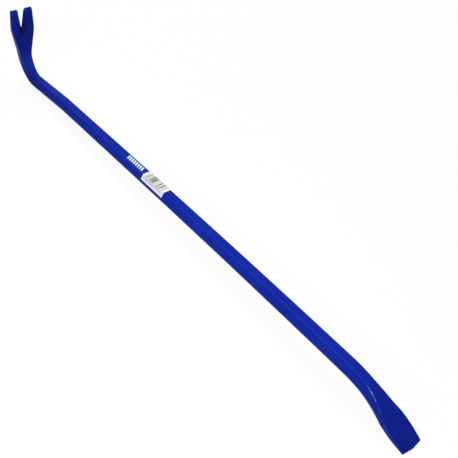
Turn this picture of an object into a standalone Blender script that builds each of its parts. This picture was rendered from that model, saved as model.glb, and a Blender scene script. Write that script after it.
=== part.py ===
"""Claw bar: a hexagonal forged bar with a notched claw at one end and a cranked chisel at the other.

Metres, +Z up. The bar lies along X with its chisel at +X, its claw standing up at -X and its bends in the
XZ plane. It rests on its chisel edge and on the heel of the claw. The origin is under the middle of the box.
"""

from math import atan2, cos, pi, radians, sin, sqrt

import bmesh
import bpy
import numpy as np
from mathutils import Matrix, Vector

# Hexagonal stock
ACROSS_FLATS = 0.024
CORNER_SOFTENING = 0.0012

# Centreline, from the chisel's edge to the claw's tips
BLADE_LENGTH = 0.0635
CRANK_RADIUS = 0.168
CRANK_TURN = radians(21.8)
BOW_LENGTH = 0.500
BOW_TURN = radians(1.6)
STRAIGHT_LENGTH = 0.272
SWAY_RADIUS = 0.192
SWAY_TURN = radians(3.1)
DROP_LENGTH = 0.1145
HEEL_RADIUS = 0.0455
HEEL_TURN = radians(103.3)
CLAW_LENGTH = 0.093

# Chisel, measured back from its edge
EDGE_WIDTH = 0.0343
EDGE_THICKNESS = 0.002
EDGE_CROWN = 0.0022
BLADE_WIDTH = 0.037
BLADE_WIDEST_BACK = 0.022
WAIST_WIDTH = 0.0293
WAIST_BACK = 0.060
SQUARE_BACK = 0.042
WEDGE_BACK = 0.091

# Claw: the neck and the thickest place are shares of the heel's arc, the rest is measured back from the tips
NECK_WIDTH = 0.023
NECK_SHARE = 0.9
HEEL_THICKNESS = 0.023
HEEL_THICKEST_SHARE = 0.6
PRONG_WIDTH = 0.0465
PRONG_BACK = 0.043
TIP_WIDTH = 0.0445
TIP_THICKNESS = 0.0055
TIP_EDGE = 0.0018
TIP_BEVEL = 0.0045

# The bar's width eases from one taper to the next over this length on each side of the place where they meet
TAPER_EASING = 0.008
EASING_SAMPLES = (-1.0, -0.5, 0.0, 0.5, 1.0)

# Notch between the prongs: it is wider and deeper in the claw's front face than in its back
NOTCH_FRONT_WIDTH = 0.018
NOTCH_FRONT_DEPTH = 0.058
NOTCH_FRONT_END = 0.010
NOTCH_BACK_MOUTH = 0.0125
NOTCH_BACK_DEPTH = 0.042
NOTCH_BACK_END = 0.0012
NOTCH_CORNER_DEPTH = 0.0035
NOTCH_CORNER_CUT = 0.0025
NOTCH_END_SQUARENESS = 6
CUT_MARGIN = 0.006

# Labels on the shaft, measured from the chisel's edge along the centreline
SEAT_GAP = 0.0003
LABEL_THICKNESS = 0.0004
BARCODE_START = 0.5478
BARCODE_LENGTH = 0.0626
BARCODE_WIDTH = 0.033
STICKER_SPACING = 0.001
STICKER_LENGTH = 0.0582
STICKER_MARGIN = 0.0009

# Faceting and shading
ARC_STEP = radians(4)
BOW_STEP = radians(0.27)
TAPER_STEP = 0.005
LEAST_RING_SPACING = 0.0012
NOTCH_STEPS = 8
FACE_DIVISIONS = 4
LARGEST_CUT_SHARE = 0.35
SHARP_ANGLE = radians(30)

# The bar is turned to its resting pose in this many rounds
LEVELLING_ROUNDS = 8

# Sizes that follow from those above
ACROSS_CORNERS = 2 * ACROSS_FLATS / sqrt(3)
FLAT_WIDTH = ACROSS_FLATS / sqrt(3)
HEADING_AT_EDGE = CRANK_TURN + BOW_TURN
CRANK_LENGTH = CRANK_RADIUS * CRANK_TURN
SWAY_LENGTH = SWAY_RADIUS * SWAY_TURN
HEEL_LENGTH = HEEL_RADIUS * HEEL_TURN

# Each run of the centreline: its length, how far it turns upward on the way to the claw, and its facets' turn
RUNS = (
    (BLADE_LENGTH, 0.0, ARC_STEP),
    (CRANK_LENGTH, -CRANK_TURN, ARC_STEP),
    (BOW_LENGTH, -BOW_TURN, BOW_STEP),
    (STRAIGHT_LENGTH, 0.0, ARC_STEP),
    (SWAY_LENGTH, -SWAY_TURN, ARC_STEP),
    (DROP_LENGTH, 0.0, ARC_STEP),
    (HEEL_LENGTH, HEEL_TURN, ARC_STEP),
    (CLAW_LENGTH, 0.0, ARC_STEP),
)
BAR_LENGTH = sum(length for length, _, _ in RUNS)
HEEL_START = BAR_LENGTH - CLAW_LENGTH - HEEL_LENGTH
NECK = HEEL_START + NECK_SHARE * HEEL_LENGTH
THICKEST = HEEL_START + HEEL_THICKEST_SHARE * HEEL_LENGTH
KINK = BAR_LENGTH - PRONG_BACK
BEVEL_START = BAR_LENGTH - TIP_BEVEL

# How the section changes along the bar: position from the chisel's edge, and the value there
WIDTHS = (
    (0.0, EDGE_WIDTH),
    (BLADE_WIDEST_BACK, BLADE_WIDTH),
    (WAIST_BACK, WAIST_WIDTH),
    (WEDGE_BACK, ACROSS_CORNERS),
    (HEEL_START, ACROSS_CORNERS),
    (NECK, NECK_WIDTH),
    (KINK, PRONG_WIDTH),
    (BAR_LENGTH, TIP_WIDTH),
)
THICKNESSES = (
    (0.0, EDGE_THICKNESS),
    (WEDGE_BACK, ACROSS_FLATS),
    (HEEL_START, ACROSS_FLATS),
    (THICKEST, HEEL_THICKNESS),
    (BEVEL_START, TIP_THICKNESS),
    (BAR_LENGTH, TIP_THICKNESS),
)
# 0 is the hexagon, 1 a rectangle
SQUARENESS = (
    (SQUARE_BACK, 1.0),
    (WEDGE_BACK, 0.0),
    (HEEL_START, 0.0),
    (NECK, 1.0),
)

PAINT_BLUE = (0.010, 0.022, 0.300, 1.0)
STICKER_BLUE = (0.012, 0.055, 0.290, 1.0)
LABEL_WHITE = (0.780, 0.770, 0.720, 1.0)


def remove_scene_objects():
    """Starts from a scene with nothing in it."""
    for obj in list(bpy.data.objects):
        bpy.data.objects.remove(obj, do_unlink=True)


def principled(name, colour, roughness, metallic=0.0, coat=0.0):
    """A Principled material of one colour."""
    material = bpy.data.materials.new(name)
    material.use_nodes = True
    shader = material.node_tree.nodes["Principled BSDF"]
    shader.inputs["Base Color"].default_value = colour
    shader.inputs["Roughness"].default_value = roughness
    shader.inputs["Metallic"].default_value = metallic
    shader.inputs["Coat Weight"].default_value = coat
    material.diffuse_color = colour
    return material


def value_at(table, position):
    """The value of a table of (position, value) at this position, straight between its entries."""
    positions, values = zip(*table)
    return float(np.interp(position, positions, values))


def width_at(position):
    """The bar's full width, averaged over the easing length, which shrinks to nothing at the bar's ends."""
    reach = min(TAPER_EASING, position, BAR_LENGTH - position)
    widths = [value_at(WIDTHS, position + reach * share) for share in EASING_SAMPLES]
    return sum(widths) / len(widths)


def centreline(position):
    """(x, z, heading) at a distance from the chisel's edge; heading 0 is -X, and it turns toward +Z."""
    x = 0.0
    z = 0.0
    heading = HEADING_AT_EDGE
    left = position
    for length, turn, _ in RUNS:
        covered = min(left, length)
        if turn == 0.0:
            x -= covered * cos(heading)
            z += covered * sin(heading)
        else:
            bend = turn / length
            end = heading + bend * covered
            x -= (sin(end) - sin(heading)) / bend
            z += (cos(heading) - cos(end)) / bend
            heading = end
        left -= covered
        if left <= 0:
            break
    return x, z, heading


def placed(position, across, height, ahead=0.0):
    """A point of the bar: across is along Y, height is square to the centreline, ahead is along it."""
    x, z, heading = centreline(position)
    along = Vector((-cos(heading), 0.0, sin(heading)))
    upward = Vector((sin(heading), 0.0, cos(heading)))
    return Vector((x, across, z)) + upward * height + along * ahead


def cut_back(corner, neighbour):
    """Where a softened corner meets the side toward this neighbour, never past that side's largest share."""
    side = neighbour - corner
    share = min(CORNER_SOFTENING / side.length, LARGEST_CUT_SHARE)
    return corner + side * share


def softened(corners):
    """The polygon with each corner cut off, and with points that divide its level top and bottom sides."""
    points = []
    for index, corner in enumerate(corners):
        before = corners[index - 1]
        after = corners[(index + 1) % len(corners)]
        start = cut_back(corner, after)
        points += [cut_back(corner, before), start]
        if corner.y == after.y:
            end = cut_back(after, corner)
            points += [start.lerp(end, step / FACE_DIVISIONS) for step in range(1, FACE_DIVISIONS)]
    return points


def section(position):
    """The outline of the bar at this position, as (across, height) points in order round it."""
    half = width_at(position) / 2
    thick = value_at(THICKNESSES, position) / 2
    square = value_at(SQUARENESS, position)
    shoulder = half * (1 + square) / 2
    front = thick
    if position > BEVEL_START:
        ground = (position - BEVEL_START) / TIP_BEVEL
        front = thick * (1 - ground) + (TIP_EDGE - thick) * ground
    middle = (front - thick) / 2
    corners = [
        Vector((half, middle)),
        Vector((shoulder, front)),
        Vector((-shoulder, front)),
        Vector((-half, middle)),
        Vector((-shoulder, -thick)),
        Vector((shoulder, -thick)),
    ]
    return softened(corners)


def stations():
    """Positions of the rings of the bar: the ends of its runs and tapers, and steps between them."""
    marks = {0.0}
    start = 0.0
    for length, turn, facet_turn in RUNS:
        steps = max(1, round(abs(turn) / facet_turn))
        marks.update(start + length * step / steps for step in range(1, steps + 1))
        start += length
    marks.update(position for table in (WIDTHS, THICKNESSES) for position, _ in table)
    marks.update(np.arange(0.0, WEDGE_BACK + TAPER_EASING, TAPER_STEP))
    marks.update(np.arange(NECK, KINK + TAPER_EASING, TAPER_STEP))
    ordered = []
    for mark in sorted(marks):
        if not ordered or mark - ordered[-1] > LEAST_RING_SPACING:
            ordered.append(mark)
    ordered[-1] = BAR_LENGTH
    return ordered


def ring(position):
    """The outline at this position as points of the bar, with the chisel's edge crowned in its middle."""
    half = width_at(position) / 2
    crown = EDGE_CROWN * max(0.0, 1 - position / SQUARE_BACK)
    return [
        placed(position, point.x, point.y, -crown * (1 - abs(point.x) / half))
        for point in section(position)
    ]


def mesh_object(name, bm, material, parent):
    """Turns a bmesh into an object of that name, with its faces pointing out."""
    bmesh.ops.recalc_face_normals(bm, faces=bm.faces)
    mesh = bpy.data.meshes.new(name)
    bm.to_mesh(mesh)
    bm.free()
    mesh.materials.append(material)
    obj = bpy.data.objects.new(name, mesh)
    obj.parent = parent
    bpy.context.scene.collection.objects.link(obj)
    return obj


def drawn_through(rings):
    """A closed skin: the first ring's face is extruded to each of the other rings in turn."""
    bm = bmesh.new()
    end = bm.faces.new([bm.verts.new(point) for point in rings[0]])
    for index, points in enumerate(rings[1:]):
        made = bmesh.ops.extrude_face_region(bm, geom=[end])["geom"]
        if index > 0:
            bmesh.ops.delete(bm, geom=[end], context="FACES_ONLY")
        end = next(item for item in made if isinstance(item, bmesh.types.BMFace))
        for vert, point in zip(end.verts, points):
            vert.co = point
    return bm


def corner_cut(depth):
    """How far the prongs' inner corners are cut back at this depth from the tips, on each side."""
    return NOTCH_CORNER_CUT * max(0.0, 1 - depth / NOTCH_CORNER_DEPTH)


def claw_point(depth, across, height):
    """A point of the claw at this depth below its tips, or beyond them where the depth is negative."""
    return placed(BAR_LENGTH - max(depth, 0.0), across, height, ahead=max(-depth, 0.0))


def notch_ring(share):
    """The notch's outline at this share of its depth. It widens on in front of the claw, but not behind it."""
    front_depth = NOTCH_FRONT_DEPTH * share
    back_depth = NOTCH_BACK_DEPTH * share
    rounding = sqrt(1 - max(share, 0.0) ** NOTCH_END_SQUARENESS)
    front_width = NOTCH_FRONT_END + (NOTCH_FRONT_WIDTH - NOTCH_FRONT_END) * rounding
    back_width = NOTCH_BACK_END + (NOTCH_BACK_MOUTH - NOTCH_BACK_END) * (1 - share)
    front_half = front_width / 2 + corner_cut(front_depth)
    back_half = back_width / 2 + corner_cut(back_depth)
    front_height = value_at(THICKNESSES, BAR_LENGTH - front_depth) / 2
    back_height = -value_at(THICKNESSES, BAR_LENGTH - back_depth) / 2
    sides = []
    for side in (-1, 1):
        front = claw_point(front_depth, side * front_half, front_height)
        back = claw_point(back_depth, side * back_half, back_height)
        margin = (front - back).normalized() * CUT_MARGIN
        sides.append([front + margin, back, back - Vector((margin.x, 0.0, margin.z))])
    return sides[0][::-1] + sides[1]


def notch_cutter(material, parent):
    """What is taken out between the prongs, drawn from beyond their tips to the notch's end."""
    corner = NOTCH_CORNER_DEPTH / NOTCH_BACK_DEPTH
    steps = [sin(pi / 2 * step / NOTCH_STEPS) for step in range(NOTCH_STEPS + 1)]
    shares = [-CUT_MARGIN / NOTCH_BACK_DEPTH] + [corner + (1 - corner) * step for step in steps]
    bm = drawn_through([notch_ring(share) for share in shares])
    cutter = mesh_object("notch_cutter", bm, material, parent)
    cutter.hide_render = True
    cutter.display_type = "WIRE"
    return cutter


def forged_bar(parent):
    """The one forging: hexagonal shaft, cranked chisel, heel and claw, with the notch between its prongs."""
    paint = principled("blue_enamel", PAINT_BLUE, roughness=0.32, coat=0.3)
    bar = mesh_object("forged_bar", drawn_through([ring(position) for position in stations()]), paint, parent)
    cut = bar.modifiers.new("notch", "BOOLEAN")
    cut.operation = "DIFFERENCE"
    cut.solver = "EXACT"
    cut.object = notch_cutter(paint, parent)
    bar.data.shade_smooth()
    bar.data.set_sharp_from_angle(angle=SHARP_ANGLE)
    return bar


def folded_outline(fold, gap):
    """Half of a label's line over the shaft at this gap: its fold at the ridge and its end on the slant."""
    ridge = Vector((FLAT_WIDTH / 2, ACROSS_FLATS / 2))
    down_slant = Vector((cos(pi / 3), -sin(pi / 3)))
    off_slant = Vector((cos(pi / 6), sin(pi / 6)))
    off_ridge = Vector((sin(pi / 6), cos(pi / 6))) / cos(pi / 6)
    return [ridge + off_ridge * gap, ridge + down_slant * fold + off_slant * gap]


def laid_strip(outline, start, length):
    """A strip of this outline, extruded straight along the bar from start."""
    bm = bmesh.new()
    face = bm.faces.new([bm.verts.new(placed(start, point.x, point.y)) for point in outline])
    made = bmesh.ops.extrude_face_region(bm, geom=[face])["geom"]
    run = placed(start + length, 0.0, 0.0) - placed(start, 0.0, 0.0)
    bmesh.ops.translate(bm, vec=run, verts=[item for item in made if isinstance(item, bmesh.types.BMVert)])
    return bm


def barcode_label(parent):
    """The paper label: it covers the top flat and folds down over the slanted flat on each side."""
    fold = (BARCODE_WIDTH - FLAT_WIDTH) / 2
    inner = folded_outline(fold, SEAT_GAP)
    outer = folded_outline(fold, SEAT_GAP + LABEL_THICKNESS)
    left_outer = [Vector((-point.x, point.y)) for point in reversed(outer)]
    left_inner = [Vector((-point.x, point.y)) for point in inner]
    outline = left_outer + outer + inner[::-1] + left_inner
    bm = laid_strip(outline, BARCODE_START, BARCODE_LENGTH)
    paper = principled("label_paper", LABEL_WHITE, roughness=0.55)
    return mesh_object("barcode_label", bm, paper, parent)


def name_sticker(parent):
    """The vinyl sticker: it lies on the top flat only, beside the paper label on the claw's side."""
    base = ACROSS_FLATS / 2 + SEAT_GAP
    top = base + LABEL_THICKNESS
    half = FLAT_WIDTH / 2 - STICKER_MARGIN
    outline = [Vector((-half, top)), Vector((half, top)), Vector((half, base)), Vector((-half, base))]
    start = BARCODE_START + BARCODE_LENGTH + STICKER_SPACING
    bm = laid_strip(outline, start, STICKER_LENGTH)
    vinyl = principled("sticker_vinyl", STICKER_BLUE, roughness=0.25, coat=0.5)
    return mesh_object("name_sticker", bm, vinyl, parent)


def lowest(points):
    """The point that lies lowest."""
    return min(points, key=lambda point: point.z)


def resting_turn(points):
    """The turn about Y that brings the lowest places of the bar's two halves level with each other."""
    turn = 0.0
    middle = sum(point.x for point in points) / len(points)
    for _ in range(LEVELLING_ROUNDS):
        turned = [Matrix.Rotation(turn, 3, "Y") @ point for point in points]
        heel = lowest(point for point in turned if point.x < middle)
        edge = lowest(point for point in turned if point.x >= middle)
        turn -= atan2(heel.z - edge.z, edge.x - heel.x)
    return turn


def rest_on_floor(carrier, bar):
    """Turns and shifts the empty that carries every piece, so that the bar stands on z = 0 over the origin."""
    points = [vert.co.copy() for vert in bar.data.vertices]
    turn = resting_turn(points)
    turned = [Matrix.Rotation(turn, 3, "Y") @ point for point in points]
    lengthwise = [point.x for point in turned]
    carrier.rotation_euler = (0.0, turn, 0.0)
    carrier.location = (
        -(min(lengthwise) + max(lengthwise)) / 2,
        0.0,
        -min(point.z for point in turned),
    )


def main():
    remove_scene_objects()
    carrier = bpy.data.objects.new("resting_carrier", None)
    bpy.context.scene.collection.objects.link(carrier)
    bar = forged_bar(carrier)
    barcode_label(carrier)
    name_sticker(carrier)
    rest_on_floor(carrier, bar)
    print(f"length along the centreline {BAR_LENGTH * 1000:.1f} mm")


main()
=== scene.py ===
"""Looks of the claw bar: blue enamel over the forging, a vinyl sticker and a paper label.

Metres, +Z up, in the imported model's frame. The chisel is at +X, the claw stands up at -X, and the bends lie
in the XZ plane. Positions along the bar are measured on its centreline, from the chisel's edge to the tips.
"""

import logging
from abc import ABC, abstractmethod
from collections.abc import Callable, Iterable, Sequence
from dataclasses import dataclass, field, replace
from enum import Enum, IntEnum
from math import atan2, cos, pi, radians, sin, sqrt
from typing import Any

import bmesh
import bpy
import numpy as np
from bmesh.types import BMesh, BMFace, BMVert
from bpy.types import Material, Node, NodeSocket, NodeTree, Object
from mathutils import Euler, Matrix, Vector


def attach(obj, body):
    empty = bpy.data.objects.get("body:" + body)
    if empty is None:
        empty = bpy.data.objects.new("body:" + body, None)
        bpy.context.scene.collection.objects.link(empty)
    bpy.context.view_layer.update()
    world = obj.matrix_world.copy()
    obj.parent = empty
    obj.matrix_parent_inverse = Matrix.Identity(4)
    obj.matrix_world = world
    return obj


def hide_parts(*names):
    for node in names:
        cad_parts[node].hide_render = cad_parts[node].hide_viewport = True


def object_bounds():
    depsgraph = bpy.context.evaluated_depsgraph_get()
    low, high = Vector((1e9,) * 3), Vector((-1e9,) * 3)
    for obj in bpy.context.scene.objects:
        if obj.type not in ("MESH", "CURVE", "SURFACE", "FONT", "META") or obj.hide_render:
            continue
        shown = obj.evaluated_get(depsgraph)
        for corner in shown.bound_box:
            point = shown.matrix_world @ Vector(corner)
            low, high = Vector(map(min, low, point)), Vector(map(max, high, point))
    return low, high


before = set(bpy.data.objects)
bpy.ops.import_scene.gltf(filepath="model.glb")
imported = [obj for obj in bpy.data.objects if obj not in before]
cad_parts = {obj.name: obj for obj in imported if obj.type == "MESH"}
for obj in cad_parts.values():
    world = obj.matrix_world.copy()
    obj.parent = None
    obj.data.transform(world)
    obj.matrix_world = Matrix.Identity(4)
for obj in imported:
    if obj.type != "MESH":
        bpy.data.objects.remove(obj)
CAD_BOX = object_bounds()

LOG = logging.getLogger("claw_bar")
BODY = "root"
Pair = tuple[float, float]
Triple = tuple[float, float, float]


class Slot(Enum):
    """The record's material slots, by name."""

    ENAMEL = "blue_enamel"
    PAPER = "label_paper"
    VINYL = "sticker_vinyl"


class Print(IntEnum):
    """What lies on a face of a label, as the place of its material on the piece."""

    GROUND = 0
    MARK = 1
    TINT = 2


class PaintedLight(Enum):
    """Where the enamel's colour carries painted light and shade, by the name of the mesh's attribute that
    says how much; the rounded edges' attribute also sets their gloss.
    """

    EDGE = "rounded_edge"
    GLINT = "painted_ridge_glint"
    NOTCH_SHADE = "painted_notch_shade"
    HIGHLIGHT = "painted_highlight"


# Node trees


class Graph:
    """A node tree that is filled node by node."""

    def __init__(self, tree: NodeTree) -> None:
        """Takes the tree that the nodes go into."""
        self.tree = tree

    @classmethod
    def of(cls, owner: Any, shader: str) -> tuple["Graph", Node]:
        """Turns on the nodes of a material or world, and gives its graph and its shader."""
        owner.use_nodes = True
        return cls(owner.node_tree), owner.node_tree.nodes[shader]

    def feed(self, socket: NodeSocket, value: Any) -> None:
        """Gives a socket its value.

        Args:
            socket: the input to set.
            value: another node's output, or a constant.
        """
        if isinstance(value, NodeSocket):
            self.tree.links.new(value, socket)
        else:
            socket.default_value = value

    def node(self, kind: str, inputs: dict[Any, Any] | None = None, **settings: Any) -> Node:
        """Adds a node.

        Args:
            kind: the node's type.
            inputs: values for its inputs, by name or number.
            settings: values for its properties.

        Returns:
            The new node.
        """
        made = self.tree.nodes.new(kind)
        for name, value in settings.items():
            setattr(made, name, value)
        for name, value in (inputs or {}).items():
            self.feed(made.inputs[name], value)
        return made

    def math(self, operation: str, *values: Any, clamp: bool = False) -> NodeSocket:
        """The output of a new Math node, whose inputs in order are numbers or other outputs."""
        inputs = dict(enumerate(values))
        return self.node("ShaderNodeMath", inputs, operation=operation, use_clamp=clamp).outputs[0]

    def noise(self, vector: Any, scale: Any, detail: float = 2.0) -> NodeSocket:
        """A noise from 0 to 1, with so many features in a metre and so many finer layers."""
        inputs = {"Vector": vector, "Scale": scale, "Detail": detail}
        return self.node("ShaderNodeTexNoise", inputs).outputs[0]

    def marked(self, painted_mark: PaintedLight) -> NodeSocket:
        """How strongly a point of the mesh carries one of the painted light and shade marks."""
        return self.node("ShaderNodeAttribute", attribute_name=painted_mark.value).outputs["Fac"]

    def blend(self, share: Any, first: Any, second: Any) -> NodeSocket:
        """Adds a colour Mix node.

        Args:
            share: how much of the second colour shows.
            first: one colour.
            second: the other colour.

        Returns:
            The mixed colour.
        """
        mixer = self.node("ShaderNodeMix", data_type="RGBA")
        self.feed(mixer.inputs["Factor"], share)
        colours = [socket for socket in mixer.inputs if socket.type == "RGBA"]
        for socket, value in zip(colours, (first, second)):
            self.feed(socket, value)
        return next(socket for socket in mixer.outputs if socket.type == "RGBA")

    def object_places(self, stretch: Triple = (1.0, 1.0, 1.0)) -> NodeSocket:
        """The piece's own coordinates; a small stretch draws the pattern out along that axis."""
        places = self.node("ShaderNodeTexCoord").outputs["Object"]
        return self.node("ShaderNodeMapping", {"Vector": places, "Scale": stretch}).outputs[0]


def node_group(name: str, numbers: Iterable[str], output: str) -> tuple[Graph, Any, Node]:
    """Starts a shader node group that reads places, as "Vector", and puts out one value.

    Args:
        name: the group's name.
        numbers: the names of its other inputs, each a number.
        output: the name of its output.

    Returns:
        Its graph, its inputs by name, and its output node.
    """
    group = bpy.data.node_groups.new(name, "ShaderNodeTree")
    group.interface.new_socket("Vector", in_out="INPUT", socket_type="NodeSocketVector")
    for label in numbers:
        group.interface.new_socket(label, in_out="INPUT", socket_type="NodeSocketFloat")
    group.interface.new_socket(output, in_out="OUTPUT", socket_type="NodeSocketFloat")
    graph = Graph(group)
    return graph, graph.node("NodeGroupInput").outputs, graph.node("NodeGroupOutput")


@dataclass
class SharedEffects:
    """The effects that more than one material uses, each built once as a node group."""

    small_patch_scale: float = 6.3
    small_patch_share: float = 0.35
    grain_scale: float = 4.7
    patches: NodeTree = field(init=False)
    skin: NodeTree = field(init=False)

    def __post_init__(self) -> None:
        """Builds the groups."""
        self.patches = self._patches()
        self.skin = self._skin()

    def _patches(self) -> NodeTree:
        """Soft uneven patches of tone: a large and a small noise, added and then spread by a contrast.

        Returns:
            The group.
        """
        graph, given, result = node_group("tone_patches", ("Patch Scale", "Contrast"), "Mask")
        large = graph.noise(given["Vector"], given["Patch Scale"])
        small_scale = graph.math("MULTIPLY", given["Patch Scale"], self.small_patch_scale)
        small = graph.noise(given["Vector"], small_scale)
        large_part = graph.math("MULTIPLY", large, 1 - self.small_patch_share)
        both = graph.math("MULTIPLY_ADD", small, self.small_patch_share, large_part)
        spread = graph.math("MULTIPLY", graph.math("SUBTRACT", both, 0.5), given["Contrast"])
        graph.feed(result.inputs["Mask"], graph.math("ADD", spread, 0.5, clamp=True))
        return graph.tree

    def _skin(self) -> NodeTree:
        """The fine relief of a coat or sheet: rounded cells with a finer grain on them, as a height.

        Returns:
            The group.
        """
        graph, given, result = node_group("surface_relief", ("Cell Scale", "Grain"), "Height")
        cells = graph.noise(given["Vector"], given["Cell Scale"], detail=0.0)
        grain_scale = graph.math("MULTIPLY", given["Cell Scale"], self.grain_scale)
        grains = graph.noise(given["Vector"], grain_scale, detail=1.0)
        grain = graph.math("MULTIPLY", grains, given["Grain"])
        graph.feed(result.inputs["Height"], graph.math("ADD", cells, grain))
        return graph.tree


# Finishes


@dataclass(frozen=True)
class Finish:
    """A coat or sheet: two tones in soft patches, a fine relief, and a nearly even gloss."""

    name: str
    dark: Triple
    light: Triple
    roughness: float
    patch_scale: float
    cell_scale: float
    specular: float
    contrast: float = 2.0
    grain: float = 0.3
    relief: float = 0.00002
    roughness_swing: float = 0.08
    stretch: Triple = (1.0, 1.0, 1.0)

    def material(self, effects: SharedEffects) -> Material:
        """Builds the material.

        Args:
            effects: the shared node groups.

        Returns:
            The new material.
        """
        material = bpy.data.materials.new(self.name)
        material.diffuse_color = (*self.light, 1.0)
        graph, shader = Graph.of(material, "Principled BSDF")
        places = graph.object_places(self.stretch)
        patches = {"Vector": places, "Patch Scale": self.patch_scale, "Contrast": self.contrast}
        mask = graph.node("ShaderNodeGroup", patches, node_tree=effects.patches).outputs["Mask"]
        graph.feed(shader.inputs["Base Color"], self._colour(graph, mask))
        swing = graph.math("MULTIPLY", mask, self.roughness_swing)
        graph.feed(shader.inputs["Roughness"], graph.math("ADD", swing, self.roughness))
        skin = {"Vector": graph.object_places(), "Cell Scale": self.cell_scale, "Grain": self.grain}
        height = graph.node("ShaderNodeGroup", skin, node_tree=effects.skin).outputs["Height"]
        bump = graph.node("ShaderNodeBump", {"Strength": 1.0, "Distance": self.relief, "Height": height})
        graph.feed(shader.inputs["Normal"], bump.outputs[0])
        shader.inputs["Specular IOR Level"].default_value = self.specular
        self._finish_off(graph, shader)
        return material

    def _colour(self, graph: Graph, mask: NodeSocket) -> NodeSocket:
        """The two tones, mixed by the patches' mask."""
        return graph.blend(mask, (*self.dark, 1.0), (*self.light, 1.0))

    def _finish_off(self, graph: Graph, shader: Node) -> None:
        """Adds what only some finishes have; a plain one has nothing more."""


@dataclass(frozen=True)
class Enamel(Finish):
    """Enamel over a forging, with painted highlights and painted shade over its tones, and dashes of painted
    glint on the blade's ridges.
    """

    # Painted shade in the notch, deepest toward its bottom.
    notch_shade_tone: Triple = (0.0100, 0.0150, 0.078)
    notch_shade_share: float = 0.9
    # Painted highlight on the tips' bevels, the blade's sides, the ridges and the heel's inner curve.
    highlight_tone: Triple = (0.0160, 0.0540, 0.520)
    highlight_share: float = 0.6
    # Painted highlight on every rounded edge, which also gets the clearer gloss below.
    edge: Triple = (0.012, 0.036, 0.360)
    edge_highlight_share: float = 0.2
    edge_gloss: float = 0.06
    edge_roughness: float = 0.3
    # Dashes of painted glint on the blade's upper ridges.
    glint_tone: Triple = (0.58, 0.64, 0.96)
    glint_scale: float = 520.0
    glint_threshold: float = 0.40
    glint_contrast: float = 5.0

    def _colour(self, graph: Graph, mask: NodeSocket) -> NodeSocket:
        """The two tones, then the notch's painted shade, the painted highlights and the rounded edges'
        painted highlight, and dashes of painted glint.

        Args:
            graph: the material's graph.
            mask: where the tone patches lie.

        Returns:
            The colour.
        """
        tones = super()._colour(graph, mask)
        # Painted shade in the notch, then painted highlights, then the rounded edges' painted highlight, laid
        # over the tones.
        for painted_mark, share, tone in (
            (PaintedLight.NOTCH_SHADE, self.notch_shade_share, self.notch_shade_tone),
            (PaintedLight.HIGHLIGHT, self.highlight_share, self.highlight_tone),
            (PaintedLight.EDGE, self.edge_highlight_share, self.edge),
        ):
            shown = graph.math("MULTIPLY", graph.marked(painted_mark), share)
            tones = graph.blend(shown, tones, (*tone, 1.0))
        # Broken dashes of a near-white painted glint where the mesh marks the blade's ridges.
        dashes = graph.noise(graph.object_places(), self.glint_scale, detail=1.0)
        above = graph.math("SUBTRACT", dashes, self.glint_threshold)
        broken = graph.math("MULTIPLY", above, self.glint_contrast, clamp=True)
        shown = graph.math("MULTIPLY", broken, graph.marked(PaintedLight.GLINT))
        return graph.blend(shown, tones, (*self.glint_tone, 1.0))

    def _finish_off(self, graph: Graph, shader: Node) -> None:
        """Gives the rounded edges, where the enamel has run smooth, a clearer gloss than the flats.

        Args:
            graph: the material's graph.
            shader: its Principled BSDF.
        """
        clearer = graph.math("MULTIPLY", graph.marked(PaintedLight.EDGE), self.edge_gloss)
        graph.feed(shader.inputs["Coat Weight"], clearer)
        shader.inputs["Coat Roughness"].default_value = self.edge_roughness


BAR_ENAMEL = Enamel(
    "blue_enamel_coat",
    dark=(0.0064, 0.0180, 0.285),
    light=(0.0084, 0.0265, 0.375),
    roughness=0.24,
    patch_scale=26.0,
    contrast=2.2,
    cell_scale=420.0,
    specular=0.014,
    stretch=(0.35, 1.0, 1.0),
)
PAPER = Finish(
    "label_paper_white",
    dark=(0.740, 0.745, 0.750),
    light=(0.840, 0.845, 0.855),
    roughness=0.55,
    patch_scale=140.0,
    cell_scale=3200.0,
    grain=0.8,
    relief=0.000012,
    specular=0.3,
)
PAPER_FIELD = replace(
    PAPER,
    name="label_field_tint",
    dark=(0.640, 0.645, 0.615),
    light=(0.740, 0.745, 0.715),
)
INK = replace(
    PAPER,
    name="label_ink_grey",
    dark=(0.070, 0.072, 0.066),
    light=(0.150, 0.152, 0.138),
    roughness=0.5,
    patch_scale=500.0,
)
VINYL = Finish(
    "sticker_vinyl_blue",
    dark=(0.007, 0.021, 0.270),
    light=(0.010, 0.028, 0.330),
    roughness=0.2,
    patch_scale=60.0,
    cell_scale=900.0,
    relief=0.000006,
    specular=0.04,
)
VINYL_WHITE = replace(
    VINYL,
    name="sticker_white_print",
    dark=(0.72, 0.82, 0.90),
    light=(0.82, 0.90, 0.96),
    roughness=0.25,
    patch_scale=200.0,
    specular=0.1,
)
VINYL_BORDER = replace(
    VINYL_WHITE,
    name="sticker_light_blue_border",
    dark=(0.040, 0.150, 0.480),
    light=(0.060, 0.190, 0.560),
    roughness=0.22,
)


# Shape of the bar


@dataclass(frozen=True)
class Profile:
    """A size that changes in straight steps along the bar, as (position, size) pairs."""

    marks: tuple[Pair, ...]

    def at(self, position: float) -> float:
        """The size at a position."""
        positions, sizes = zip(*self.marks)
        return float(np.interp(position, positions, sizes))


@dataclass(frozen=True)
class Run:
    """A stretch of the centreline, and how far it turns upward on the way to the claw."""

    length: float
    turn: float = 0.0


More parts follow.
